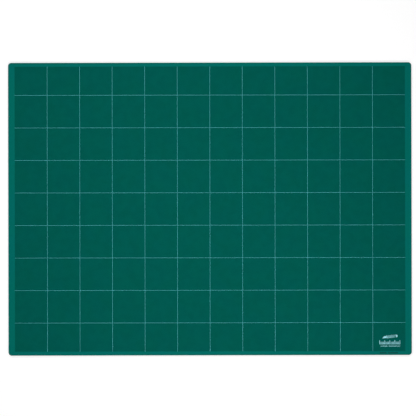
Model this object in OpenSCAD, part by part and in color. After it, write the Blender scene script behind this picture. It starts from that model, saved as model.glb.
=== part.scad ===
// Self-healing cutting mat for leatherwork: five pressed plies and a flush printed face.
// Frame: origin at the centre of the underside, +X along the long side, +Y away from the user, +Z up.

/* [Mat] */
// Length of the mat along X
mat_length = 620; // [320:100:920]
// Width of the mat along Y
mat_width = 450; // [250:50:650]
// Radius of the four corners, seen from above
corner_r = 5; // [3:0.5:6]
// Radius of the eased rim on the outer edge of each skin
rim_r = 0.4; // [0.2:0.05:0.6]

/* [Plies] */
// Thickness of each soft self-healing skin
skin_t = 0.8; // [0.7:0.05:1.2]
// Thickness of each backing ply
backing_t = 0.4; // [0.2:0.05:0.8]
// Thickness of the stiff core sheet
core_t = 0.6; // [0.3:0.05:1.5]
// How far the stiff core springs back from the cut edge
core_inset = 0.1; // [0:0.05:0.3]

/* [Printed field] */
// Plain border at the two short sides
border_x = 10; // [10:1:18]
// Plain border at the two long sides
border_y = 6; // [5:1:20]
// Thickness of the dark field ink, pressed in flush
field_ink_t = 0.06; // [0.04:0.01:0.1]
// Thickness of the line ink, pressed into the field ink
line_ink_t = 0.03; // [0.02:0.01:0.03]

/* [Grid lines] */
// Distance from one grid line to the next
grid_pitch = 50; // [50, 100]
// Width of a grid line
line_w = 0.35; // [0.2:0.05:1]

/* [Corner marks] */
// Distance from the field's right edge to the middle of the marks
mark_in_x = 24; // [20:1:24]
// Distance from the field's near edge to the middle of the marks
mark_in_y = 16; // [14:1:18]
// Length of the scale strip
scale_length = 32; // [20:1:34]
// Number of bars in the scale strip
scale_bars = 17; // [5:4:17]

/* [Hidden] */

eps = 0.01;                        // cutters reach this far past a face
curve_fn = 64;                     // fineness of round outlines

lower_backing_z = skin_t;
core_z = lower_backing_z + backing_t;
upper_backing_z = core_z + core_t;
top_skin_z = upper_backing_z + backing_t;
face_z = top_skin_z + skin_t;      // the working face

field_length = mat_length - 2 * border_x;
field_width = mat_width - 2 * border_y;
column_lines = ceil(field_length / grid_pitch) - 1;
row_lines = ceil(field_width / grid_pitch) - 1;

mark_x = field_length / 2 - mark_in_x;
mark_y = mark_in_y - field_width / 2;

knife_length = 24;
knife_w = 4.4;                     // across the handle
knife_tilt = 6;                    // degrees
knife_rise = 6.2;                  // from the middle of the marks up to the knife
blade_length = 6.6;
blade_w = 3;
blade_slant = 3.4;                 // length of the blade's slanted end
collar_x = 7.2;                    // places along the knife, from the blade's tip
collar_length = 1.2;
rib_x = 9;
rib_w = 0.7;                       // slanted ribs of the handle
rib_pitch = 1.7;
rib_slant = 1.2;
rib_count = 7;

bar_w = 0.8;
short_bar = 3.8;
tall_bar = 6;
tall_every = 4;                    // bars from one tall bar to the next
baseline_w = 0.5;
scale_drop = 5.4;                  // from the middle of the marks down to the baseline

dash_pitch = 1.5;                  // of the small dashes, white and dark
dash_w = 0.75;
dash_h = 1.5;
dash_drop = 8.3;                   // from the middle of the marks down to the white dashes
dash_groups = [[-8.8, 7], [7.2, 12]];     // centre and count of each group
border_dash_w = 0.95;
border_dash_h = 1.7;
border_dash_drop = 2.6;            // from the field's near edge down to the dark dashes
border_groups = [[-10, 7], [5, 10]];

// Outline of a sheet with round corners, inset from the mat's own outline.
module outline(inset = 0) {
    half_l = mat_length / 2 - inset;
    half_w = mat_width / 2 - inset;
    r = corner_r - inset;
    square([2 * half_l, 2 * (half_w - r)], center = true);
    square([2 * (half_l - r), 2 * half_w], center = true);
    for (sx = [-1, 1], sy = [-1, 1])
        translate([sx * (half_l - r), sy * (half_w - r)])
            circle(r, $fn = curve_fn);
}

// A flat ply with square edges.
module ply(z, t, inset = 0) {
    translate([0, 0, z])
        linear_extrude(t)
            outline(inset);
}

// Section of a skin's edge: its outer upper corner is round.
module rim_section(t) {
    square([corner_r, t - rim_r]);
    square([corner_r - rim_r, t]);
    translate([corner_r - rim_r, t - rim_r])
        circle(rim_r, $fn = curve_fn);
}

// A straight length of skin edge along X, centred, with its outer side towards -Y.
module straight_rim(length, t) {
    rotate([90, 0, 90])
        translate([0, 0, -length / 2])
            linear_extrude(length)
                mirror([1, 0])
                    rim_section(t);
}

// An outer skin, face up, with its rim eased all round.
module skin(t) {
    inner_l = mat_length - 2 * corner_r;
    inner_w = mat_width - 2 * corner_r;
    linear_extrude(t)
        square([inner_l, inner_w], center = true);
    for (turn = [0, 180]) {
        rotate(turn)
            translate([0, -inner_w / 2, 0])
                straight_rim(inner_l, t);
        rotate(turn + 90)
            translate([0, -inner_l / 2, 0])
                straight_rim(inner_w, t);
    }
    for (sx = [-1, 1], sy = [-1, 1])
        translate([sx * inner_l / 2, sy * inner_w / 2, 0])
            rotate(sx > 0 ? (sy > 0 ? 0 : -90) : (sy > 0 ? 90 : 180))
                rotate_extrude(angle = 90, $fn = curve_fn)
                    rim_section(t);
}

// All the grid lines as one plane figure. The lines stop at the edge of the printed field.
module grid_figure() {
    for (i = [0 : column_lines - 1])
        translate([(i - (column_lines - 1) / 2) * grid_pitch, 0])
            square([line_w, field_width], center = true);
    for (i = [0 : row_lines - 1])
        translate([0, (i - (row_lines - 1) / 2) * grid_pitch])
            square([field_length, line_w], center = true);
}

// A craft knife seen from the side, as separate patches of ink: blade, collar, ribbed grip and butt.
module knife_figure() {
    half_w = knife_w / 2;
    butt_x = knife_length - half_w;
    translate([mark_x, mark_y + knife_rise])
        rotate(knife_tilt)
            translate([-knife_length / 2, 0]) {
                polygon([
                    [0, -blade_w / 2],
                    [blade_length, -blade_w / 2],
                    [blade_length, blade_w / 2],
                    [blade_slant, blade_w / 2]
                ]);
                translate([collar_x, -half_w])
                    square([collar_length, knife_w]);
                for (i = [0 : rib_count - 1])
                    translate([rib_x + i * rib_pitch, 0])
                        polygon([
                            [0, -half_w],
                            [rib_w, -half_w],
                            [rib_w + rib_slant, half_w],
                            [rib_slant, half_w]
                        ]);
                translate([butt_x, 0])
                    intersection() {
                        circle(r = half_w, $fn = curve_fn);
                        translate([0, -half_w])
                            square([half_w, knife_w]);
                    }
            }
}

// A row of upright bars on a baseline, some of them tall, like the edge of a ruler.
module scale_figure() {
    bar_pitch = (scale_length - bar_w) / (scale_bars - 1);
    translate([mark_x - scale_length / 2, mark_y - scale_drop]) {
        square([scale_length, baseline_w]);
        for (i = [0 : scale_bars - 1])
            translate([i * bar_pitch, 0])
                square([bar_w, i % tall_every == 0 ? tall_bar : short_bar]);
    }
}

// Groups of small upright dashes at height y: each group holds its centre from mark_x and its count.
module dash_figure(y, groups, w, h) {
    for (g = groups, i = [0 : g[1] - 1])
        translate([mark_x + g[0] + (i - (g[1] - 1) / 2) * dash_pitch, y])
            square([w, h], center = true);
}

module white_dash_figure() {
    dash_figure(mark_y - dash_drop, dash_groups, dash_w, dash_h);
}

module border_dash_figure() {
    dash_figure(-field_width / 2 - border_dash_drop, border_groups, border_dash_w, border_dash_h);
}

// An ink film of thickness t, its top level with the working face. A cutter also reaches past the face.
module film(t, past = 0) {
    translate([0, 0, face_z - t])
        linear_extrude(t + past)
            children();
}

module field_figure() {
    square([field_length, field_width], center = true);
}

module bottom_skin() {
    color([0.012, 0.40, 0.36])
        translate([0, 0, skin_t])
            mirror([0, 0, 1])
                skin(skin_t);
}

module lower_backing_ply() {
    color([0.05, 0.46, 0.40])
        ply(lower_backing_z, backing_t);
}

module stiff_core() {
    color([0.10, 0.14, 0.13])
        ply(core_z, core_t, core_inset);
}

module upper_backing_ply() {
    color([0.05, 0.46, 0.40])
        ply(upper_backing_z, backing_t);
}

module top_skin() {
    color([0.012, 0.40, 0.36])
        difference() {
            translate([0, 0, top_skin_z])
                skin(skin_t);
            film(field_ink_t, eps) field_figure();
            film(line_ink_t, eps) border_dash_figure();
        }
}

module field_ink() {
    color([0.005, 0.34, 0.30])
        difference() {
            film(field_ink_t) field_figure();
            film(line_ink_t, eps) grid_figure();
            film(line_ink_t, eps) knife_figure();
            film(line_ink_t, eps) scale_figure();
            film(line_ink_t, eps) white_dash_figure();
        }
}

module grid_lines() {
    color([0.78, 0.90, 0.87])
        film(line_ink_t) grid_figure();
}

module knife_mark() {
    color([0.86, 0.94, 0.92])
        film(line_ink_t) knife_figure();
}

module scale_mark() {
    color([0.86, 0.94, 0.92])
        film(line_ink_t) scale_figure();
}

module dash_mark() {
    color([0.86, 0.94, 0.92])
        film(line_ink_t) white_dash_figure();
}

module border_mark() {
    color([0.02, 0.16, 0.14])
        film(line_ink_t) border_dash_figure();
}

bottom_skin();
lower_backing_ply();
stiff_core();
upper_backing_ply();
top_skin();
field_ink();
grid_lines();
knife_mark();
scale_mark();
dash_mark();
border_mark();
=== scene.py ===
"""Builds a self-healing cutting mat: five pressed plies under a ruled, printed working face.

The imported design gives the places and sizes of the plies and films. This script adds the looks:
plies with eased edges, films of ink that stand a little proud of the vinyl, pressed and printed
finishes, and a bright table.
"""

import math

import bmesh
import bpy
from bpy.props import FloatProperty, FloatVectorProperty, IntProperty, PointerProperty
from mathutils import Matrix, Vector


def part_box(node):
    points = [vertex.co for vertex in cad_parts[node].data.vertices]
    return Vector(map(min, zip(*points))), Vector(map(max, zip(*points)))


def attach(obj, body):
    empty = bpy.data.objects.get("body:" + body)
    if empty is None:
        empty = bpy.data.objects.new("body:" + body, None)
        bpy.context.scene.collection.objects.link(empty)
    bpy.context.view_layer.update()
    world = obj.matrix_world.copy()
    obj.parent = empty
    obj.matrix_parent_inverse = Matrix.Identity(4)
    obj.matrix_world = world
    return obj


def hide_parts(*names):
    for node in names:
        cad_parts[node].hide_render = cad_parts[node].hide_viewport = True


bl_info = {
    "name": "Self-healing cutting mat",
    "version": (1, 0, 0),
    "blender": (4, 5, 0),
    "location": "View3D > Sidebar > Cutting mat",
    "description": "Builds a five-ply self-healing cutting mat with a ruled, printed face",
    "category": "Add Mesh",
}

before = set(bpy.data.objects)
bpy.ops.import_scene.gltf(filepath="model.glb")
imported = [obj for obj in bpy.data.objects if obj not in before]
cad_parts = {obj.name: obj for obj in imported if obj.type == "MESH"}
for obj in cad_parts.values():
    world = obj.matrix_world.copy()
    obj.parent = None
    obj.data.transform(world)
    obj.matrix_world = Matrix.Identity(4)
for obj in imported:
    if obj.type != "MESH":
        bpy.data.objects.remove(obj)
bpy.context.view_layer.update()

MM = 0.001
LEVEL = 1e-6              # points closer than this in height are on one level
SHARP = math.radians(35)  # edges steeper than this stay crisp
EASE_STEPS = 2            # facets across a small easing
BUTT_SIDES = 48           # facets of the round butt, counted for a whole disc
TABLE_SQUARES = 8         # along each side of the table

# Small dashes: each group's middle, from the middle of the marks, and its number of dashes
WHITE_DASHES = ((-8.8 * MM, 7), (7.2 * MM, 12))
DARK_DASHES = ((-10 * MM, 7), (5 * MM, 10))

# Fineness of the patterns, in repeats per metre, or along X, Y and Z
CLOUDS = 14.0
TINT_CLOUDS = 31.0
STREAKS = (2.0, 190.0, 1.0)
WIPES = (9.0, 16.0, 1.0)
DIE_SCORES = (2600.0, 2600.0, 160.0)
FILLER_FLECKS = 3800.0
INK_PINHOLES = 5200.0
INK_THIN_PLACES = 90.0
SWELL = 0.23              # of the grain's pebbles

BLUER = (1.0, 0.985, 1.06)    # turns a green into its bluer cousin, for slow changes of tint

# Where the room brightens and darkens again, as the height of a direction: 0 is level and 1 overhead
RING_STARTS = (0.3, 0.5)
RING_ENDS = (0.7, 0.85)

# The Mix node's colour sockets, which share their names with others
MIX_LOW, MIX_HIGH, MIX_RESULT = 6, 7, 2

# Where the shader and the output stand in a material's node tree, right of everything else
SHADER_COLUMN = 17
OUTPUT_COLUMN = 19


# Settings

def length(name, description, default):
    """A length that the sidebar shows in the scene's own units."""
    return FloatProperty(
        name=name, description=description, default=default, unit="LENGTH", precision=5
    )


def point(name, description, default):
    """A point in space."""
    return FloatVectorProperty(
        name=name, description=description, default=default, size=3, unit="LENGTH", subtype="TRANSLATION"
    )


def share(name, description, default):
    """A number from 0 to 1."""
    return FloatProperty(
        name=name, description=description, default=default, min=0, max=1, subtype="FACTOR"
    )


def strength(name, description, default):
    """A number from 0 up."""
    return FloatProperty(name=name, description=description, default=default, min=0)


def angle(name, description, default, precision=2):
    """An angle, given here in degrees."""
    return FloatProperty(
        name=name, description=description, default=math.radians(default), subtype="ANGLE",
        precision=precision,
    )


def whole(name, description, default, least):
    """A whole number."""
    return IntProperty(name=name, description=description, default=default, min=least)


def paint(name, description, default):
    """A colour, in linear light."""
    return FloatVectorProperty(
        name=name, description=description, default=default, size=3, min=0, max=1, subtype="COLOR"
    )


class MatSheetSettings(bpy.types.PropertyGroup):
    """Shape of the plies."""

    corner_radius: length("Corner radius", "Radius of the four corners, seen from above", 5 * MM)
    corner_steps: whole("Corner steps", "Facets round each corner", 16, 4)
    rim_radius: length("Rim radius", "Rounding of the outer edge of each skin", 0.4 * MM)
    rim_steps: whole("Rim steps", "Facets across each rim", 5, 2)
    ply_ease: length("Ply ease", "Rounding where two plies meet at the cut edge", 0.05 * MM)
    flat_margin: length("Flat margin", "Level strip between an eased edge and the open face", 0.6 * MM)


class MatPrintSettings(bpy.types.PropertyGroup):
    """Layout of the printed face."""

    line_spacing: length("Line spacing", "Distance from one grid line to the next", 50 * MM)
    line_width: length("Line width", "Width of a grid line", 0.35 * MM)
    ink_height: length("Ink height", "How far line and mark ink stands above the face", 0.03 * MM)
    ink_ease: length("Ink ease", "Rounding of the upper edges of the ink", 0.015 * MM)
    film_ease: length("Film ease", "Rounding of the upper edge of the field film", 0.02 * MM)


class MatMarkSettings(bpy.types.PropertyGroup):
    """Shape of the corner marks: a craft knife, a ruler's edge and two rows of dashes."""

    in_x: length("From the side", "From the field's right edge to the middle of the marks", 24 * MM)
    in_y: length("From the front", "From the field's near edge to the middle of the marks", 16 * MM)
    knife_length: length("Knife length", "From the blade's tip to the end of the butt", 24 * MM)
    knife_width: length("Knife width", "Across the handle", 4.4 * MM)
    knife_rise: length("Knife rise", "From the middle of the marks up to the knife", 6.2 * MM)
    knife_tilt: angle("Knife tilt", "Slope of the knife", 6)
    blade_length: length("Blade length", "From the blade's tip to its foot", 6.6 * MM)
    blade_width: length("Blade width", "Across the blade", 3 * MM)
    blade_slant: length("Blade slant", "Length of the blade's slanted end", 3.4 * MM)
    collar_place: length("Collar place", "From the blade's tip to the collar", 7.2 * MM)
    collar_length: length("Collar length", "Length of the collar", 1.2 * MM)
    rib_place: length("Rib place", "From the blade's tip to the first rib", 9 * MM)
    rib_width: length("Rib width", "Width of a rib of the handle", 0.7 * MM)
    rib_spacing: length("Rib spacing", "From one rib to the next", 1.7 * MM)
    rib_slant: length("Rib slant", "How far a rib's top leans over", 1.2 * MM)
    rib_count: whole("Ribs", "Number of ribs", 7, 1)
    bar_width: length("Bar width", "Width of a bar of the scale", 0.8 * MM)
    bar_height: length("Bar height", "Height of a short bar", 3.8 * MM)
    bar_count: whole("Bars", "Number of bars", 17, 2)
    tall_every: whole("Tall bar every", "Bars from one tall bar to the next", 4, 1)
    baseline: length("Baseline", "Width of the line that the bars stand on", 0.5 * MM)
    dash_width: length("Dash width", "Width of a small white dash", 0.75 * MM)
    border_dash_width: length("Border dash width", "Width of a dark dash on the border", 0.95 * MM)
    dash_spacing: length("Dash spacing", "From one small dash to the next", 1.5 * MM)


class MatFinishSettings(bpy.types.PropertyGroup):
    """Colours and surface of each finish."""

    skin: paint("Skin", "Soft green vinyl of both skins", (0.0010, 0.157, 0.127))
    field: paint("Field", "Dark green film over the ruled field", (0.0002, 0.0985, 0.0740))
    backing: paint("Backing", "Plies under the skins", (0.010, 0.170, 0.140))
    core: paint("Core", "Stiff middle sheet", (0.014, 0.018, 0.017))
    line: paint("Line ink", "Pale ink of the grid lines", (0.115, 0.58, 0.66))
    mark: paint("Mark ink", "White ink of the corner marks", (0.40, 0.88, 0.98))
    dark_ink: paint("Dark ink", "Ink of the dashes on the border", (0.0005, 0.020, 0.018))
    grain: length("Grain", "Width of one pebble of the pressed grain", 0.38 * MM)
    grain_depth: length("Grain depth", "Depth of the pressed grain", 0.06 * MM)
    skin_roughness: share("Skin roughness", "Roughness of the plain vinyl", 0.35)
    film_roughness: share("Film roughness", "Roughness of the printed field", 0.36)
    ink_roughness: share("Ink roughness", "Roughness of the pale and dark inks", 0.48)
    vinyl_specular: share("Vinyl specular", "Specular level of the vinyl and of the field film", 0.11)
    vinyl_tint: paint("Vinyl tint", "Tint of the sheen where the vinyl is seen face on", (0.25, 1.0, 0.95))
    ink_specular: share("Ink specular", "Specular level of the pale and dark inks", 0.18)
    skin_bump: share("Skin bump", "How much of the grain shows on the plain vinyl", 0.7)
    film_bump: share("Film bump", "How much of the grain shows on the printed field", 0.6)
    ink_bump: share("Ink bump", "How much of the grain shows on the inks", 0.4)
    # Width of the band of painted shade along the outline
    rim_shade_band: length("Rim shade band", "Width of the darker strip inside the outline", 2.4 * MM)


class MatStageSettings(bpy.types.PropertyGroup):
    """Table, light and camera."""

    table_size: length("Table size", "Side of the table", 80.0)
    table_glow: strength("Table glow", "Light that the table gives off", 0.62)
    table_shade: share("Table shade", "How much light the table throws back", 0.5)
    near_lamp: point("Near lamp", "Where the near lamp hangs", (0.3, -1.4, 1.35))
    far_lamp: point("Far lamp", "Where the far lamp hangs", (-0.6, 1.4, 1.35))
    lamp_aim: point("Lamp aim", "The point that both lamps face", (-0.01, -0.02, 0.0))
    lamp_power: FloatProperty(
        name="Lamp power", description="Power of each lamp", default=0.96, min=0, unit="POWER"
    )
    lamp_spread: angle("Lamp spread", "Angle that each lamp's light fans out to", 40)
    lamp_width: length("Lamp width", "Long side of each lamp", 0.7)
    lamp_depth: length("Lamp depth", "Short side of each lamp", 0.6)
    sky_low: strength("Low room", "Brightness of the room near the horizon", 0.3)
    sky_ring: strength("Ring", "Brightness of the ring halfway up the room", 0.9)
    sky_high: strength("High room", "Brightness of the room overhead", 0.03)
    lens: FloatProperty(name="Lens", description="Focal length", default=180, unit="CAMERA")
    camera_height: length("Camera height", "From the working face up to the camera", 3197 * MM)
    camera_x: length("Camera across", "Camera's place across the mat, from its middle", -3.0 * MM)
    camera_y: length("Camera along", "Camera's place along the mat, from its middle", 1.45 * MM)
    camera_turn: angle("Camera turn", "Turn of the camera about its own line of sight", -0.105, precision=4)


class CuttingMatSettings(bpy.types.PropertyGroup):
    """Everything a user would change about the mat."""

    sheet: PointerProperty(type=MatSheetSettings)
    printing: PointerProperty(type=MatPrintSettings)
    marks: PointerProperty(type=MatMarkSettings)
    finish: PointerProperty(type=MatFinishSettings)
    stage: PointerProperty(type=MatStageSettings)


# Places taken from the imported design

def corners(node):
    """The lowest and the highest corner of a CAD node."""
    low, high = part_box(node)
    return Vector(low), Vector(high)


# Mesh work

def flat_faces(bm, z):
    """The level faces at one height."""
    return [f for f in bm.faces if all(abs(v.co.z - z) < LEVEL for v in f.verts)]


def outline_edges(bm, z):
    """Edges at one height where a level face turns down, or up, into a side."""
    level = [e for e in bm.edges if all(abs(v.co.z - z) < LEVEL for v in e.verts)]
    return [e for e in level if e.calc_face_angle(0.0) > SHARP]


def ease(bm, edges, offset, segments):
    """Rounds some edges."""
    bmesh.ops.bevel(
        bm, geom=edges, offset=offset, offset_type="OFFSET", segments=segments, profile=0.5,
        affect="EDGES", material=-1, clamp_overlap=True,
    )


def cut_lines(bm, z, xs, ys):
    """Cuts the level faces at one height along lines across and along the mat."""
    for axis, places in ((Vector((1, 0, 0)), xs), (Vector((0, 1, 0)), ys)):
        for place in places:
            faces = flat_faces(bm, z)
            geom = {*faces}
            for f in faces:
                geom.update(f.edges)
                geom.update(f.verts)
            bmesh.ops.bisect_plane(bm, geom=list(geom), dist=LEVEL, plane_co=axis * place, plane_no=axis)


def box_mesh(low, high):
    """A closed block between two corners."""
    bm = bmesh.new()
    bmesh.ops.create_cube(bm, size=1)
    bmesh.ops.scale(bm, vec=high - low, verts=bm.verts)
    bmesh.ops.translate(bm, vec=(low + high) / 2, verts=bm.verts)
    return bm


def ply_mesh(node, sheet, low_ease, high_ease):
    """A sheet with the mat's round corners, its lower and upper outlines eased by two amounts."""
    low, high = corners(node)
    bm = box_mesh(low, high)
    upright = [e for e in bm.edges if abs(e.verts[0].co.z - e.verts[1].co.z) > LEVEL]
    inset = high.x - corners("top_skin")[1].x
    ease(bm, upright, sheet.corner_radius + inset, sheet.corner_steps)
    for z, offset in ((low.z, low_ease), (high.z, high_ease)):
        steps = sheet.rim_steps if offset == sheet.rim_radius else EASE_STEPS
        ease(bm, outline_edges(bm, z), offset, steps)
        bmesh.ops.inset_region(bm, faces=flat_faces(bm, z), thickness=sheet.flat_margin, depth=0)
    return bm


def add_patch(bm, left, right, bottom, top, slant=0.0):
    """Adds a level four-sided patch. Slant moves its upper edge to the right."""
    made = bmesh.ops.create_grid(bm, x_segments=1, y_segments=1, size=0.5)["verts"]
    bmesh.ops.scale(bm, vec=(right - left, top - bottom, 1), verts=made)
    bmesh.ops.translate(bm, vec=((left + right) / 2, (bottom + top) / 2, 0), verts=made)
    bmesh.ops.translate(bm, vec=(slant, 0, 0), verts=[v for v in made if v.co.y > (bottom + top) / 2])
    return made


def cut_figure(low, high, xs, ys, keep):
    """A level rectangle cut along lines, of which only the cells that keep(middle) accepts remain."""
    bm = bmesh.new()
    made = add_patch(bm, low.x, high.x, low.y, high.y)
    bmesh.ops.translate(bm, vec=(0, 0, high.z), verts=made)
    cut_lines(bm, high.z, xs, ys)
    spare = [f for f in bm.faces if not keep(f.calc_center_bounds())]
    bmesh.ops.delete(bm, geom=spare, context="FACES")
    return bm


def raise_film(bm, height, edge_ease):
    """Turns level patches into closed films of ink with soft upper edges."""
    made = bmesh.ops.extrude_face_region(bm, geom=bm.faces[:])["geom"]
    upper = [v for v in made if isinstance(v, bmesh.types.BMVert)]
    bmesh.ops.translate(bm, vec=(0, 0, height), verts=upper)
    bmesh.ops.recalc_face_normals(bm, faces=bm.faces[:])
    ease(bm, outline_edges(bm, upper[0].co.z), edge_ease, EASE_STEPS)


def finish_piece(name, bm, material, node):
    """Makes a bmesh a piece of the mat: it stands for one CAD node, which it hides."""
    bmesh.ops.remove_doubles(bm, verts=bm.verts[:], dist=LEVEL / 2)
    bmesh.ops.recalc_face_normals(bm, faces=bm.faces[:])
    for f in bm.faces:
        f.smooth = True
    for e in bm.edges:
        e.smooth = e.calc_face_angle(0.0) < SHARP
    mesh = bpy.data.meshes.new(name)
    bm.to_mesh(mesh)
    bm.free()
    mesh.materials.append(material)
    piece = bpy.data.objects.new(name, mesh)
    bpy.context.scene.collection.objects.link(piece)
    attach(piece, "root")
    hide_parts(node)


# Node trees

class Desk:
    """A node tree being filled from left to right."""

    column_width = 190

    def __init__(self, tree):
        self.tree = tree
        self.filled = 0

    def add(self, kind, inputs=None, **settings):
        """Adds a node, sets it and feeds its inputs with values or with other nodes' outputs."""
        node = self.tree.nodes.new(kind)
        node.location = (self.filled * self.column_width, 0)
        self.filled += 1
        for name, value in settings.items():
            setattr(node, name, value)
        for name, value in (inputs or {}).items():
            self.feed(node.inputs[name], value)
        return node

    def feed(self, socket, value):
        """Links an output to a socket, or sets the socket's own value."""
        if isinstance(value, bpy.types.NodeSocket):
            self.tree.links.new(value, socket)
        else:
            socket.default_value = value

    def math(self, operation, *values, clamp=False):
        """Works out a number."""
        node = self.add("ShaderNodeMath", operation=operation, use_clamp=clamp)
        for socket, value in zip(node.inputs, values):
            self.feed(socket, value)
        return node.outputs[0]

    def vector(self, operation, *values):
        """Works out a vector, or a vector's length."""
        node = self.add("ShaderNodeVectorMath", operation=operation)
        for socket, value in zip(node.inputs, values):
            self.feed(socket, value)
        return node.outputs["Value" if operation == "LENGTH" else "Vector"]

    def noise(self, vector, scale, detail=2.0, roughness=0.5):
        """Cloudy noise about 0.5."""
        node = self.add(
            "ShaderNodeTexNoise",
            {"Vector": vector, "Scale": scale, "Detail": detail, "Roughness": roughness},
        )
        return node.outputs[0]

    def blend(self, factor, low, high):
        """Mixes two colours."""
        node = self.add("ShaderNodeMix", data_type="RGBA")
        self.feed(node.inputs["Factor"], factor)
        self.feed(node.inputs[MIX_LOW], low)
        self.feed(node.inputs[MIX_HIGH], high)
        return node.outputs[MIX_RESULT]

    def blend_part(self, base, mask, share, colour):
        """Moves a colour part of the way to another where a mask says."""
        return self.blend(self.math("MULTIPLY", mask, share), base, colour)

    def ramp(self, value, start, stop, low=0.0, high=1.0):
        """Low before start, high after stop, and a smooth step between them."""
        node = self.add(
            "ShaderNodeMapRange",
            {"Value": value, "From Min": start, "From Max": stop, "To Min": low, "To Max": high},
            interpolation_type="SMOOTHSTEP",
        )
        return node.outputs[0]


def new_group(name, inputs, outputs):
    """An empty shader group with named sockets. Returns it with its desk and its inputs."""
    group = bpy.data.node_groups.new(name, "ShaderNodeTree")
    for socket_name, kind, default in inputs:
        socket = group.interface.new_socket(socket_name, in_out="INPUT", socket_type="NodeSocket" + kind)
        if default is not None:
            socket.default_value = default
    for socket_name, kind in outputs:
        group.interface.new_socket(socket_name, in_out="OUTPUT", socket_type="NodeSocket" + kind)
    desk = Desk(group)
    return group, desk, desk.add("NodeGroupInput").outputs


def close_group(desk, **results):
    """Feeds the outputs of a group."""
    desk.add("NodeGroupOutput", results)


def shared_group(name, build):
    """The group of that name, built once."""
    return bpy.data.node_groups.get(name) or build(name)


def pressed_grain(name):
    """Fine pebble left by the press plates: a height, and the share of each hollow."""
    group, desk, given = new_group(
        name,
        [("Vector", "Vector", None), ("Grain", "Float", 0.35 * MM), ("Unevenness", "Float", 0.4)],
        [("Height", "Float"), ("Hollow", "Float")],
    )
    pebbles_per_metre = desk.math("DIVIDE", 1.0, given["Grain"])
    cells = desk.add(
        "ShaderNodeTexVoronoi",
        {"Vector": given["Vector"], "Scale": pebbles_per_metre, "Smoothness": 0.6, "Randomness": 0.9},
        feature="SMOOTH_F1",
    ).outputs["Distance"]
    dome = desk.math("SUBTRACT", 1.0, cells, clamp=True)
    coarse_scale = desk.math("MULTIPLY", pebbles_per_metre, SWELL)
    swell = desk.noise(given["Vector"], coarse_scale, detail=3.0)
    height = desk.math("MULTIPLY_ADD", swell, given["Unevenness"], dome)
    hollow = desk.ramp(cells, 0.45, 0.8)
    close_group(desk, Height=height, Hollow=hollow)
    return group


def pigment_drift(name):
    """Slow unevenness of a dyed sheet: soft clouds, and faint streaks along the calender's run."""
    group, desk, given = new_group(
        name,
        [("Vector", "Vector", None), ("Colour", "Color", (0.5, 0.5, 0.5, 1)), ("Cloud", "Float", 0.1),
         ("Streak", "Float", 0.04), ("Second Colour", "Color", (0.5, 0.5, 0.5, 1))],
        [("Colour", "Color")],
    )
    clouds = desk.noise(given["Vector"], CLOUDS, detail=4.0, roughness=0.6)
    run = desk.vector("MULTIPLY", given["Vector"], STREAKS)
    streaks = desk.noise(run, 1.0, detail=2.0)
    cloud_part = desk.math("MULTIPLY", desk.math("SUBTRACT", clouds, 0.5), given["Cloud"])
    streak_part = desk.math("MULTIPLY", desk.math("SUBTRACT", streaks, 0.5), given["Streak"])
    shade = desk.math("ADD", desk.math("ADD", cloud_part, streak_part), 1.0)
    tint_clouds = desk.noise(given["Vector"], TINT_CLOUDS, detail=3.0, roughness=0.55)
    tint = desk.ramp(tint_clouds, 0.35, 0.65)
    hue = desk.blend(tint, given["Colour"], given["Second Colour"])
    shades = desk.add("ShaderNodeCombineXYZ", {"X": shade, "Y": shade, "Z": shade}).outputs[0]
    close_group(desk, Colour=desk.vector("MULTIPLY", hue, shades))
    return group


def outline_band(name):
    """How near a point is to the mat's outline: 1 at the outline, 0 further in than the band is wide."""
    group, desk, given = new_group(
        name,
        [("Vector", "Vector", None), ("Half Size", "Vector", (0.31, 0.225, 0.0)),
         ("Corner Radius", "Float", 5 * MM), ("Band", "Float", 1 * MM)],
        [("Mask", "Float")],
    )
    plan = desk.vector("MULTIPLY", given["Vector"], (1.0, 1.0, 0.0))
    radius = given["Corner Radius"]
    radii = desk.add("ShaderNodeCombineXYZ", {"X": radius, "Y": radius}).outputs[0]
    arc_centres = desk.vector("SUBTRACT", given["Half Size"], radii)
    past = desk.vector("SUBTRACT", desk.vector("ABSOLUTE", plan), arc_centres)
    parts = desk.add("ShaderNodeSeparateXYZ", {"Vector": past}).outputs
    round_part = desk.vector("LENGTH", desk.vector("MAXIMUM", past, (0.0, 0.0, 0.0)))
    flat_part = desk.math("MINIMUM", desk.math("MAXIMUM", parts["X"], parts["Y"]), 0.0)
    inwards = desk.math("SUBTRACT", radius, desk.math("ADD", round_part, flat_part))
    close_group(desk, Mask=desk.ramp(inwards, 0.0, given["Band"], low=1.0, high=0.0))
    return group


def hand_smudge(name):
    """Roughness that varies where the face has been wiped and handled."""
    group, desk, given = new_group(
        name,
        [("Vector", "Vector", None), ("Roughness", "Float", 0.5), ("Amount", "Float", 0.1)],
        [("Roughness", "Float")],
    )
    wiped = desk.vector("MULTIPLY", given["Vector"], WIPES)
    centred = desk.math("SUBTRACT", desk.noise(wiped, 1.0, detail=5.0, roughness=0.62), 0.5)
    varied = desk.math("MULTIPLY_ADD", centred, given["Amount"], given["Roughness"], clamp=True)
    close_group(desk, Roughness=varied)
    return group


def die_cut(name):
    """The cut edge: a mask of the upright faces, and the upright scores that the die leaves on them."""
    group, desk, given = new_group(
        name,
        [("Vector", "Vector", None)],
        [("Mask", "Float"), ("Height", "Float")],
    )
    normal = desk.add("ShaderNodeNewGeometry").outputs["Normal"]
    steepness = desk.math("ABSOLUTE", desk.add("ShaderNodeSeparateXYZ", {"Vector": normal}).outputs["Z"])
    mask = desk.ramp(steepness, 0.1, 0.5, low=1.0, high=0.0)
    scored = desk.vector("MULTIPLY", given["Vector"], DIE_SCORES)
    close_group(desk, Mask=mask, Height=desk.noise(scored, 1.0, detail=3.0, roughness=0.6))
    return group


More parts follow.
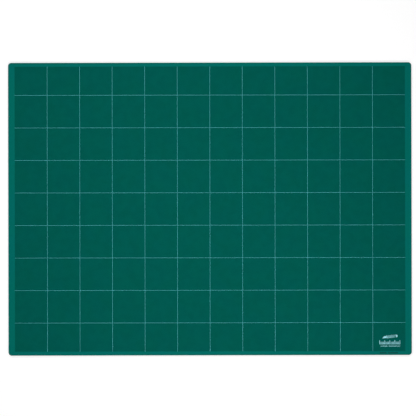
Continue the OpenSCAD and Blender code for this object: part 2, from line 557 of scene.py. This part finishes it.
def ink_cover(name):
    """Where printed ink covers: 1 for full ink, less in pinholes and in thin places."""
    group, desk, given = new_group(
        name,
        [("Vector", "Vector", None), ("Pinholes", "Float", 0.3), ("Thinness", "Float", 0.12)],
        [("Cover", "Float")],
    )
    speckle = desk.noise(given["Vector"], INK_PINHOLES)
    holes = desk.math("MULTIPLY", desk.ramp(speckle, 0.34, 0.46, low=1.0, high=0.0), given["Pinholes"])
    slow = desk.noise(given["Vector"], INK_THIN_PLACES)
    thin = desk.math("MULTIPLY", desk.ramp(slow, 0.3, 0.7, low=1.0, high=0.0), given["Thinness"])
    unholed = desk.math("SUBTRACT", 1.0, holes)
    close_group(desk, Cover=desk.math("SUBTRACT", unholed, thin, clamp=True))
    return group


def place_group(desk, build, **inputs):
    """Puts a shared group in a material and returns its outputs."""
    name = build.__name__.replace("_", " ").capitalize()
    node = desk.add("ShaderNodeGroup", node_tree=shared_group(name, build))
    for socket_name, value in inputs.items():
        desk.feed(node.inputs[socket_name.replace("_", " ")], value)
    return node.outputs


# Materials

def opaque(colour, gain=1.0):
    """A colour with full alpha, brighter or darker by a factor."""
    return (*(min(1.0, part * gain) for part in colour), 1.0)


def new_material(name, specular, tint=(1.0, 1.0, 1.0)):
    """A material with one Principled shader. Returns it, its desk, its shader and the coordinates."""
    material = bpy.data.materials.new(name)
    material.use_nodes = True
    material.node_tree.nodes.clear()
    desk = Desk(material.node_tree)
    here = desk.add("ShaderNodeTexCoord").outputs["Object"]
    shader = desk.add(
        "ShaderNodeBsdfPrincipled", {"Specular IOR Level": specular, "Specular Tint": opaque(tint)}
    )
    output = desk.add("ShaderNodeOutputMaterial", {"Surface": shader.outputs[0]})
    shader.location = (SHADER_COLUMN * desk.column_width, 0)
    output.location = (OUTPUT_COLUMN * desk.column_width, 0)
    return material, desk, shader, here


def set_bump(desk, shader, height, strength, distance):
    """Feeds a height to the shader's normal."""
    bump = desk.add("ShaderNodeBump", {"Height": height, "Strength": strength, "Distance": distance})
    desk.feed(shader.inputs["Normal"], bump.outputs[0])


def dye(desk, here, colour, cloud, streak):
    """A dyed sheet's uneven colour."""
    bluer = opaque([part * gain for part, gain in zip(colour, BLUER)])
    return place_group(
        desk, pigment_drift, Vector=here, Colour=opaque(colour), Second_Colour=bluer,
        Cloud=cloud, Streak=streak,
    )["Colour"]


def set_roughness(desk, shader, here, roughness, smudge, extra=None):
    """Feeds the shader's roughness: smudged, and rougher where a mask says."""
    smudged = place_group(desk, hand_smudge, Vector=here, Roughness=roughness, Amount=smudge)["Roughness"]
    if extra:
        smudged = desk.math("MULTIPLY_ADD", *extra, smudged, clamp=True)
    desk.feed(shader.inputs["Roughness"], smudged)


def vinyl_material(finish, sheet):
    """Pressed vinyl: grain on its faces, scores on its cut edge, painted shade in the grain's hollows, and
    a band of painted shade along the rim.
    """
    material, desk, shader, here = new_material("Healing skin", finish.vinyl_specular, finish.vinyl_tint)
    colour = finish.skin
    half_size = corners("top_skin")[1]
    grain = place_group(desk, pressed_grain, Vector=here, Grain=finish.grain)
    cut = place_group(desk, die_cut, Vector=here)
    rim = place_group(
        desk, outline_band, Vector=here, Half_Size=(half_size.x, half_size.y, 0.0),
        Corner_Radius=sheet.corner_radius, Band=finish.rim_shade_band,
    )["Mask"]
    dyed = dye(desk, here, colour, cloud=0.06, streak=0.025)
    # Painted shade: the hollows of the pressed grain are darker
    hollow_painted_shade = desk.blend_part(dyed, grain["Hollow"], share=0.18, colour=opaque(colour, gain=0.6))
    # Painted shade: the vinyl is darker in a band along the mat's outline
    rim_painted_shade = desk.blend_part(hollow_painted_shade, rim, share=0.5, colour=opaque(colour, gain=0.5))
    fresh_cut = desk.blend_part(rim_painted_shade, cut["Mask"], share=0.35, colour=opaque(colour, gain=1.35))
    desk.feed(shader.inputs["Base Color"], fresh_cut)
    rougher_cut = (cut["Mask"], 0.18)
    set_roughness(desk, shader, here, finish.skin_roughness, smudge=0.16, extra=rougher_cut)
    level = desk.math("SUBTRACT", 1.0, cut["Mask"])
    on_faces = desk.math("MULTIPLY", grain["Height"], level)
    on_edge = desk.math("MULTIPLY", cut["Height"], cut["Mask"])
    set_bump(desk, shader, desk.math("ADD", on_faces, on_edge), finish.skin_bump, finish.grain_depth)
    return material


def film_material(finish):
    """Dark printed film of the ruled field, pressed over the same grain, with painted shade in the grain's
    hollows.
    """
    material, desk, shader, here = new_material("Field ink", finish.vinyl_specular, finish.vinyl_tint)
    colour = finish.field
    grain = place_group(desk, pressed_grain, Vector=here, Grain=finish.grain)
    cover = place_group(desk, ink_cover, Vector=here, Pinholes=0.1)["Cover"]
    dyed = dye(desk, here, colour, cloud=0.05, streak=0.03)
    printed = desk.blend(cover, opaque(finish.skin), dyed)
    # Painted shade: the hollows of the pressed grain are darker
    hollow_painted_shade = desk.blend_part(printed, grain["Hollow"], share=0.15, colour=opaque(colour, gain=0.65))
    desk.feed(shader.inputs["Base Color"], hollow_painted_shade)
    set_roughness(desk, shader, here, finish.film_roughness, smudge=0.14)
    set_bump(desk, shader, grain["Height"], finish.film_bump, finish.grain_depth)
    return material


def ink_material(name, colour, under, finish, pinholes):
    """Screen-printed ink with pinholes that show what is under it."""
    material, desk, shader, here = new_material(name, finish.ink_specular)
    cover = place_group(desk, ink_cover, Vector=here, Pinholes=pinholes)["Cover"]
    desk.feed(shader.inputs["Base Color"], desk.blend(cover, opaque(under), opaque(colour)))
    set_roughness(desk, shader, here, finish.ink_roughness, smudge=0.12)
    grain = place_group(desk, pressed_grain, Vector=here, Grain=finish.grain)
    set_bump(desk, shader, grain["Height"], finish.ink_bump, finish.grain_depth)
    return material


def inner_ply_material(name, colour, flecks):
    """An inner ply, seen only at the cut edge: scored, matte and speckled with filler."""
    material, desk, shader, here = new_material(name, specular=0.2)
    cut = place_group(desk, die_cut, Vector=here)
    filler = desk.ramp(desk.noise(here, FILLER_FLECKS, detail=1.0), 0.56, 0.66)
    flecked = desk.blend_part(opaque(colour), filler, share=flecks, colour=opaque(colour, gain=2.2))
    scores = desk.math("MULTIPLY", cut["Height"], cut["Mask"])
    desk.feed(shader.inputs["Base Color"], desk.blend(scores, flecked, opaque(colour, gain=1.3)))
    set_roughness(desk, shader, here, roughness=0.62, smudge=0.1)
    set_bump(desk, shader, cut["Height"], strength=0.5, distance=0.02 * MM)
    return material


# Pieces

def add_skins(settings):
    """Both soft skins. The upper one has the shallow pocket that the field film lies in."""
    sheet = settings.sheet
    vinyl = vinyl_material(settings.finish, sheet)
    bottom = ply_mesh("bottom_skin", sheet, sheet.rim_radius, sheet.ply_ease)
    finish_piece("bottom_skin_piece", bottom, vinyl, "bottom_skin")
    top = ply_mesh("top_skin", sheet, sheet.ply_ease, sheet.rim_radius)
    low, high = corners("field_ink")
    cut_lines(top, high.z, (low.x, high.x), (low.y, high.y))
    middle = [
        f for f in flat_faces(top, high.z)
        if abs(f.calc_center_bounds().x) < high.x and abs(f.calc_center_bounds().y) < high.y
    ]
    sunk = bmesh.ops.extrude_face_region(top, geom=middle)["geom"]
    bmesh.ops.delete(top, geom=middle, context="FACES_ONLY")
    floor_points = [v for v in sunk if isinstance(v, bmesh.types.BMVert)]
    bmesh.ops.translate(top, vec=(0, 0, low.z - high.z), verts=floor_points)
    finish_piece("top_skin_piece", top, vinyl, "top_skin")


def add_inner_plies(settings):
    """The two backing plies and the stiff core between them."""
    sheet, finish = settings.sheet, settings.finish
    backing = inner_ply_material("Backing", finish.backing, flecks=0.25)
    core = inner_ply_material("Core", finish.core, flecks=0.5)
    plies = (("lower_backing_ply", backing), ("stiff_core", core), ("upper_backing_ply", backing))
    for node, material in plies:
        bm = ply_mesh(node, sheet, sheet.ply_ease, sheet.ply_ease)
        finish_piece(node + "_piece", bm, material, node)


def line_places(low, high, spacing):
    """Middles of the lines between two edges, at even spacing and centred."""
    count = math.ceil((high - low) / spacing - LEVEL) - 1
    first = (low + high - (count - 1) * spacing) / 2
    return [first + i * spacing for i in range(count)]


def add_field(settings):
    """The dark film, in squares that follow the grid."""
    low, high = corners("field_ink")
    spacing = settings.printing.line_spacing
    bm = box_mesh(low, high)
    ease(bm, outline_edges(bm, high.z), settings.printing.film_ease, EASE_STEPS)
    margin = settings.sheet.flat_margin
    bmesh.ops.inset_region(bm, faces=flat_faces(bm, high.z), thickness=margin, depth=0)
    cut_lines(bm, high.z, line_places(low.x, high.x, spacing), line_places(low.y, high.y, spacing))
    finish_piece("field_ink_piece", bm, film_material(settings.finish), "field_ink")


def add_grid(settings):
    """The lattice of grid lines, one film of pale ink."""
    printing, finish = settings.printing, settings.finish
    low, high = corners("grid_lines")
    half = printing.line_width / 2
    columns = line_places(low.x, high.x, printing.line_spacing)
    rows = line_places(low.y, high.y, printing.line_spacing)

    def on_line(middle):
        across = any(abs(middle.x - x) < half for x in columns)
        return across or any(abs(middle.y - y) < half for y in rows)

    xs = [x + side for x in columns for side in (-half, half)]
    ys = [y + side for y in rows for side in (-half, half)]
    bm = cut_figure(low, high, xs, ys, on_line)
    raise_film(bm, printing.ink_height, printing.ink_ease)
    ink = ink_material("Line ink", finish.line, finish.field, finish, pinholes=0.12)
    finish_piece("grid_lines_piece", bm, ink, "grid_lines")


def mark_origin(marks):
    """Middle of the corner marks, on the working face."""
    low, high = corners("field_ink")
    return Vector((high.x - marks.in_x, low.y + marks.in_y, high.z))


def knife_mesh(marks):
    """A craft knife seen from the side: blade, collar, ribbed grip and round butt."""
    bm = bmesh.new()
    half = marks.knife_width / 2
    blade = add_patch(bm, 0, marks.blade_length, -marks.blade_width / 2, marks.blade_width / 2)
    tip = [v for v in blade if v.co.x < marks.blade_length / 2 and v.co.y > 0]
    bmesh.ops.translate(bm, vec=(marks.blade_slant, 0, 0), verts=tip)
    add_patch(bm, marks.collar_place, marks.collar_place + marks.collar_length, -half, half)
    for rib in range(marks.rib_count):
        left = marks.rib_place + rib * marks.rib_spacing
        add_patch(bm, left, left + marks.rib_width, -half, half, slant=marks.rib_slant)
    disc = bmesh.ops.create_circle(bm, cap_ends=True, segments=BUTT_SIDES, radius=half)["verts"]
    cap = list({f for v in disc for f in v.link_faces})
    rim = list({e for v in disc for e in v.link_edges})
    bmesh.ops.bisect_plane(
        bm, geom=disc + rim + cap, dist=LEVEL, plane_co=(0, 0, 0), plane_no=(1, 0, 0), clear_inner=True
    )
    butt = [v for f in bm.faces if len(f.verts) > 4 for v in f.verts]
    bmesh.ops.translate(bm, vec=(marks.knife_length - half, 0, 0), verts=butt)
    bmesh.ops.translate(bm, vec=(-marks.knife_length / 2, 0, 0), verts=bm.verts)
    bmesh.ops.rotate(bm, cent=(0, 0, 0), matrix=Matrix.Rotation(marks.knife_tilt, 3, "Z"), verts=bm.verts)
    bmesh.ops.translate(bm, vec=mark_origin(marks) + Vector((0, marks.knife_rise, 0)), verts=bm.verts)
    return bm


def scale_mesh(marks):
    """A row of upright bars on a baseline, like the edge of a ruler."""
    low, high = corners("scale_mark")
    pitch = (high.x - low.x - marks.bar_width) / (marks.bar_count - 1)
    xs = [low.x + i * pitch + side for i in range(marks.bar_count) for side in (0, marks.bar_width)]
    ys = [low.y + marks.baseline, low.y + marks.bar_height]

    def on_scale(middle):
        if middle.y < low.y + marks.baseline:
            return True
        bar, past_bar = divmod(middle.x - low.x, pitch)
        reaches = middle.y < low.y + marks.bar_height or bar % marks.tall_every == 0
        return past_bar < marks.bar_width and reaches

    return cut_figure(low, high, xs[1:-1], ys, on_scale)


def dash_mesh(node, groups, dash_width, marks):
    """Groups of small upright dashes."""
    low, high = corners(node)
    half = dash_width / 2
    bm = bmesh.new()
    for group_x, count in groups:
        for i in range(count):
            x = mark_origin(marks).x + group_x + (i - (count - 1) / 2) * marks.dash_spacing
            add_patch(bm, x - half, x + half, low.y, high.y)
    bmesh.ops.translate(bm, vec=(0, 0, high.z), verts=bm.verts)
    return bm


def add_marks(settings):
    """The knife, the scale and both rows of dashes."""
    printing, marks, finish = settings.printing, settings.marks, settings.finish
    white = ink_material("Mark ink", finish.mark, finish.field, finish, pinholes=0.25)
    dark = ink_material("Dark ink", finish.dark_ink, finish.skin, finish, pinholes=0.2)
    small_print = dash_mesh("dash_mark", WHITE_DASHES, marks.dash_width, marks)
    border_print = dash_mesh("border_mark", DARK_DASHES, marks.border_dash_width, marks)
    films = (
        ("knife_mark", knife_mesh(marks), white),
        ("scale_mark", scale_mesh(marks), white),
        ("dash_mark", small_print, white),
        ("border_mark", border_print, dark),
    )
    for node, bm, ink in films:
        raise_film(bm, printing.ink_height, printing.ink_ease)
        finish_piece(node + "_piece", bm, ink, node)


# Stage

def add_table(stage):
    """A wide pale table that glows a little, so that a thin sheet hardly shades it."""
    bm = bmesh.new()
    bmesh.ops.create_grid(
        bm, x_segments=TABLE_SQUARES, y_segments=TABLE_SQUARES, size=stage.table_size / 2
    )
    mesh = bpy.data.meshes.new("table")
    bm.to_mesh(mesh)
    bm.free()
    table = bpy.data.objects.new("table", mesh)
    bpy.context.scene.collection.objects.link(table)
    material, _, shader, _ = new_material("Table", specular=0.1)
    shader.inputs["Base Color"].default_value = opaque([stage.table_shade] * 3)
    shader.inputs["Roughness"].default_value = 0.9
    shader.inputs["Emission Color"].default_value = (1, 1, 1, 1)
    shader.inputs["Emission Strength"].default_value = stage.table_glow
    mesh.materials.append(material)


def add_lamp(name, stage, place):
    """A soft rectangular lamp."""
    light = bpy.data.lights.new(name, "AREA")
    light.shape = "RECTANGLE"
    light.size = stage.lamp_width
    light.size_y = stage.lamp_depth
    light.spread = stage.lamp_spread
    light.energy = stage.lamp_power
    lamp = bpy.data.objects.new(name, light)
    lamp.location = place
    lamp.rotation_euler = (stage.lamp_aim - place).to_track_quat("-Z", "Y").to_euler()
    bpy.context.scene.collection.objects.link(lamp)


def add_room(stage):
    """A pale room: soft near the horizon, brightest halfway up, and dark overhead."""
    world = bpy.data.worlds.new("Room")
    world.use_nodes = True
    world.node_tree.nodes.clear()
    desk = Desk(world.node_tree)
    direction = desk.add("ShaderNodeTexCoord").outputs["Generated"]
    up = desk.add("ShaderNodeSeparateXYZ", {"Vector": direction}).outputs["Z"]
    lower = desk.ramp(up, *RING_STARTS, low=stage.sky_low, high=stage.sky_ring)
    brightness = desk.ramp(up, *RING_ENDS, low=lower, high=stage.sky_high)
    room = desk.add("ShaderNodeBackground", {"Color": (1, 1, 1, 1), "Strength": brightness})
    desk.add("ShaderNodeOutputWorld", {"Surface": room.outputs[0]})
    bpy.context.scene.world = world


def add_camera(stage):
    """A camera straight above the mat."""
    low, high = corners("top_skin")
    view = bpy.data.cameras.new("camera")
    view.lens = stage.lens
    camera = bpy.data.objects.new("camera", view)
    face_middle = Vector(((low.x + high.x) / 2, (low.y + high.y) / 2, high.z))
    camera.location = face_middle + Vector((stage.camera_x, stage.camera_y, stage.camera_height))
    camera.rotation_euler = (0, 0, stage.camera_turn)
    bpy.context.scene.collection.objects.link(camera)
    bpy.context.scene.camera = camera


# Operators and panel

class CUTTINGMAT_OT_skins(bpy.types.Operator):
    """Add the two soft skins"""

    bl_idname = "cutting_mat.skins"
    bl_label = "Skins"

    def execute(self, context):
        add_skins(context.scene.cutting_mat)
        return {"FINISHED"}


class CUTTINGMAT_OT_inner_plies(bpy.types.Operator):
    """Add the backing plies and the stiff core"""

    bl_idname = "cutting_mat.inner_plies"
    bl_label = "Inner plies"

    def execute(self, context):
        add_inner_plies(context.scene.cutting_mat)
        return {"FINISHED"}


class CUTTINGMAT_OT_field(bpy.types.Operator):
    """Add the dark printed film of the ruled field"""

    bl_idname = "cutting_mat.field"
    bl_label = "Field film"

    def execute(self, context):
        add_field(context.scene.cutting_mat)
        return {"FINISHED"}


class CUTTINGMAT_OT_grid(bpy.types.Operator):
    """Add the lattice of grid lines"""

    bl_idname = "cutting_mat.grid"
    bl_label = "Grid lines"

    def execute(self, context):
        add_grid(context.scene.cutting_mat)
        return {"FINISHED"}


class CUTTINGMAT_OT_marks(bpy.types.Operator):
    """Add the knife, the scale and the dashes"""

    bl_idname = "cutting_mat.marks"
    bl_label = "Corner marks"

    def execute(self, context):
        add_marks(context.scene.cutting_mat)
        return {"FINISHED"}


class CUTTINGMAT_OT_stage(bpy.types.Operator):
    """Add the table, the lamps, the room and the camera"""

    bl_idname = "cutting_mat.stage"
    bl_label = "Stage"

    def execute(self, context):
        stage = context.scene.cutting_mat.stage
        add_table(stage)
        add_lamp("near_lamp", stage, stage.near_lamp)
        add_lamp("far_lamp", stage, stage.far_lamp)
        add_room(stage)
        add_camera(stage)
        context.scene.view_settings.view_transform = "Standard"
        return {"FINISHED"}


STEPS = (
    CUTTINGMAT_OT_skins,
    CUTTINGMAT_OT_inner_plies,
    CUTTINGMAT_OT_field,
    CUTTINGMAT_OT_grid,
    CUTTINGMAT_OT_marks,
    CUTTINGMAT_OT_stage,
)


class CUTTINGMAT_PT_sidebar(bpy.types.Panel):
    """Steps and settings of the cutting mat"""

    bl_idname = "CUTTINGMAT_PT_sidebar"
    bl_label = "Cutting mat"
    bl_space_type = "VIEW_3D"
    bl_region_type = "UI"
    bl_category = "Cutting mat"

    def draw(self, context):
        settings = context.scene.cutting_mat
        for step in STEPS:
            self.layout.operator(step.bl_idname)
        for group in (settings.sheet, settings.printing, settings.marks, settings.finish, settings.stage):
            column = self.layout.column(align=True)
            for name in type(group).__annotations__:
                column.prop(group, name)


CLASSES = (
    MatSheetSettings,
    MatPrintSettings,
    MatMarkSettings,
    MatFinishSettings,
    MatStageSettings,
    CuttingMatSettings,
    *STEPS,
    CUTTINGMAT_PT_sidebar,
)


def register():
    for made in CLASSES:
        bpy.utils.register_class(made)
    bpy.types.Scene.cutting_mat = PointerProperty(type=CuttingMatSettings)


def unregister():
    del bpy.types.Scene.cutting_mat
    for made in reversed(CLASSES):
        bpy.utils.unregister_class(made)


def main():
    """Builds the whole scene."""
    register()
    bpy.ops.cutting_mat.skins()
    bpy.ops.cutting_mat.inner_plies()
    bpy.ops.cutting_mat.field()
    bpy.ops.cutting_mat.grid()
    bpy.ops.cutting_mat.marks()
    bpy.ops.cutting_mat.stage()


if __name__ == "__main__":
    main()
